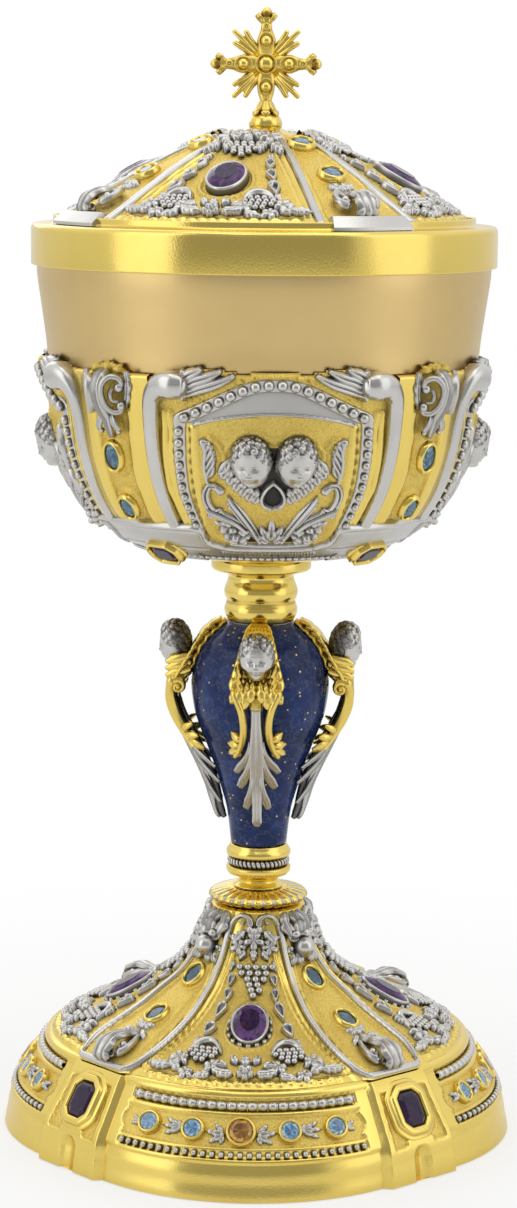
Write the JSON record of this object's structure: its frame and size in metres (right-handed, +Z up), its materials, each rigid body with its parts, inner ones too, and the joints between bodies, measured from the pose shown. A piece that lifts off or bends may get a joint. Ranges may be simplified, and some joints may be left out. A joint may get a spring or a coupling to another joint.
{
  "type": "covered chalice",
  "caption": "Gilt and silver covered chalice: lobed hollow foot, lapis knop with angel brackets, cup in a silver calyx, and a domed lid with a cross that lifts off.",
  "frame": {"origin": "middle of the foot rim's plane, where the chalice stands", "axes": "+Z up the axis to the cross, -Y towards the front panel"},
  "size_m": [0.1282, 0.1282, 0.2791],
  "materials": {
    "gilt": "polished greenish gilt",
    "cup_gilt": "polished pale gilt",
    "silver": "cast silver with dark recesses",
    "lapis": "polished opaque lapis with pyrite flecks",
    "amethyst": "dark faceted stone",
    "steel": "plain turned metal"
  },
  "bodies": {
    "stand": {"foot_shell": "gilt", "fluted_disc": "gilt", "lower_collar": "gilt", "upper_collar": "gilt", "angel_bracket_1": "gilt", "angel_bracket_2": "gilt", "angel_bracket_3": "gilt", "angel_bracket_4": "gilt", "foot_vine_1": "silver", "foot_vine_2": "silver", "foot_vine_3": "silver", "foot_vine_4": "silver", "foot_scroll_1": "silver", "foot_scroll_2": "silver", "foot_scroll_3": "silver", "foot_scroll_4": "silver", "rope_band": "silver", "angel_head_1": "silver", "angel_head_2": "silver", "angel_head_3": "silver", "angel_head_4": "silver", "calyx_shell": "silver", "cherub_plaque_1": "silver", "cherub_plaque_2": "silver", "cherub_plaque_3": "silver", "cherub_plaque_4": "silver", "calyx_scroll_1": "silver", "calyx_scroll_2": "silver", "calyx_scroll_3": "silver", "calyx_scroll_4": "silver", "foot_amethyst_1": "amethyst", "foot_amethyst_2": "amethyst", "foot_amethyst_3": "amethyst", "foot_amethyst_4": "amethyst", "plinth_amethyst_1": "amethyst", "plinth_amethyst_2": "amethyst", "plinth_amethyst_3": "amethyst", "plinth_amethyst_4": "amethyst", "calyx_amethyst_1": "amethyst", "calyx_amethyst_2": "amethyst", "calyx_amethyst_3": "amethyst", "calyx_amethyst_4": "amethyst", "tie_rod": "steel", "tie_washer": "steel", "tie_nut": "steel", "cup_bowl": "cup_gilt", "lapis_knop": "lapis"},
    "lid": {"lid_cover": "gilt", "lid_dome": "gilt", "finial_cross": "gilt", "lid_vine_1": "silver", "lid_vine_2": "silver", "lid_vine_3": "silver", "lid_vine_4": "silver", "lid_amethyst_1": "amethyst", "lid_amethyst_2": "amethyst", "lid_amethyst_3": "amethyst", "lid_amethyst_4": "amethyst", "finial_nut": "steel"}
  },
  "joints": [
    {"name": "lid_lift", "type": "slide", "parent": "stand", "child": "lid", "axis": [0, 0, 1], "range_m": [0, 0.09]}
  ]
}
